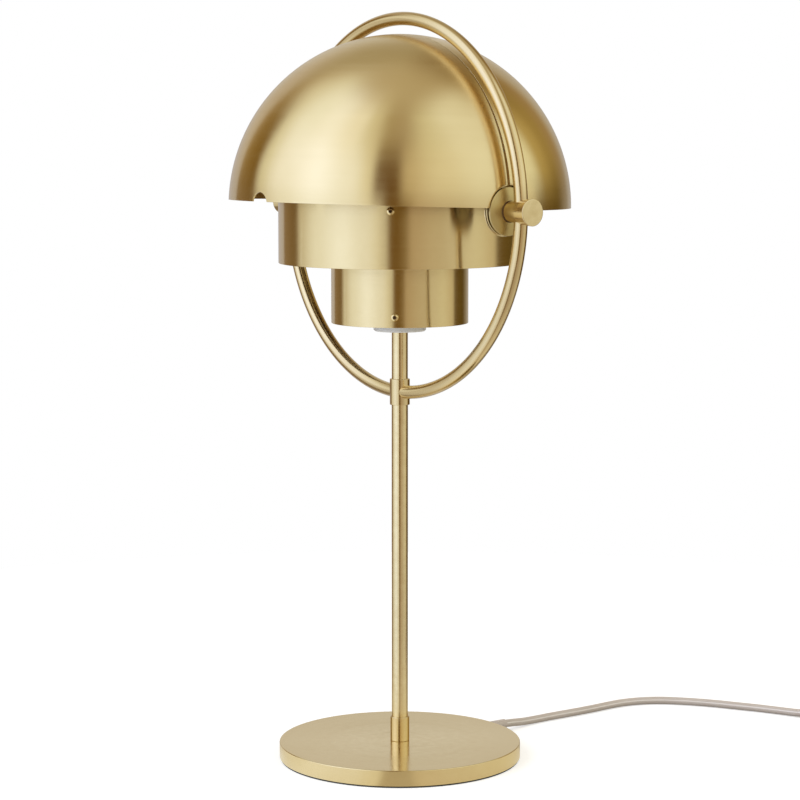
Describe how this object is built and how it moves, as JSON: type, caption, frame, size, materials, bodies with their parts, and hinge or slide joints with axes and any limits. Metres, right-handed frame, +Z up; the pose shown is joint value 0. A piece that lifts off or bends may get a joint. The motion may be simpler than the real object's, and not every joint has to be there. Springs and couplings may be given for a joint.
{
  "type": "table lamp",
  "caption": "Satin brass table lamp whose dome is two turning quarter-sphere shades carried on a large hoop, over two coaxial drums, on a slim stem and a flat round base",
  "frame": {"origin": "Centre of the foot pad's underside, on the table", "axes": "+Z up along the stem, X along the shades' turning axis, the front shade on the -Y side"},
  "size_m": [0.44, 0.4238, 0.5],
  "materials": {
    "brass": "brushed",
    "steel": "brushed",
    "iron": "rough",
    "nickel": "polished",
    "nylon": "matte",
    "pad": "matte",
    "holder_white": "gloss",
    "bulb_glass": "frosted",
    "wire_black": "matte",
    "cord_taupe": "satin",
    "fitting_taupe": "satin"
  },
  "bodies": {
    "lamp": {"foot_pad": "pad", "base_weight": "iron", "base_cover": "brass", "base_washer": "steel", "base_nut": "steel", "stem_nipple": "steel", "foot_collar": "brass", "stem_tube": "brass", "tee_collar": "brass", "upper_stem": "brass", "ring": "brass", "knob_near": "brass", "knob_far": "brass", "washer_near": "brass", "washer_far": "brass", "friction_discs_near": "nylon", "friction_discs_far": "nylon", "pivot_bolt_near": "steel", "pivot_bolt_far": "steel", "spring_washer_near": "steel", "spring_washer_far": "steel", "lower_ring": "steel", "lower_arms": "steel", "middle_band": "steel", "middle_arms": "steel", "inner_drum": "brass", "outer_drum": "brass", "inner_drum_screws": "brass", "outer_drum_screws": "brass", "spider_rivets": "steel", "lamp_holder": "holder_white", "clamp_ring": "holder_white", "socket_shell": "brass", "bulb_cap": "nickel", "bulb_globe": "bulb_glass", "stem_wires": "wire_black", "cord_anchor": "steel", "anchor_screws": "steel", "base_lead": "cord_taupe", "strain_relief": "cord_taupe", "cord_lead": "cord_taupe", "switch_base": "fitting_taupe", "switch_cover": "fitting_taupe", "cord_tail": "cord_taupe", "cord_coil": "cord_taupe", "cord_tie": "pad", "cord_end": "cord_taupe", "plug_body": "fitting_taupe", "plug_pins": "nickel"},
    "front": {"front_shade": "brass"},
    "back": {"back_shade": "brass"},
    "rocker": {"switch_rocker": "fitting_taupe"}
  },
  "joints": [
    {"name": "front_shade_turn", "type": "hinge", "parent": "lamp", "child": "front", "pos_m": [0, 0, 0.3724], "axis": [1, 0, 0], "range_deg": [0, 92]},
    {"name": "back_shade_turn", "type": "hinge", "parent": "lamp", "child": "back", "pos_m": [0, 0, 0.3724], "axis": [1, 0, 0], "range_deg": [-88, 0]},
    {"name": "switch_press", "type": "hinge", "parent": "lamp", "child": "rocker", "pos_m": [0.152, 0.3, 0.012], "axis": [0, 1, 0], "range_deg": [0, 12]}
  ]
}
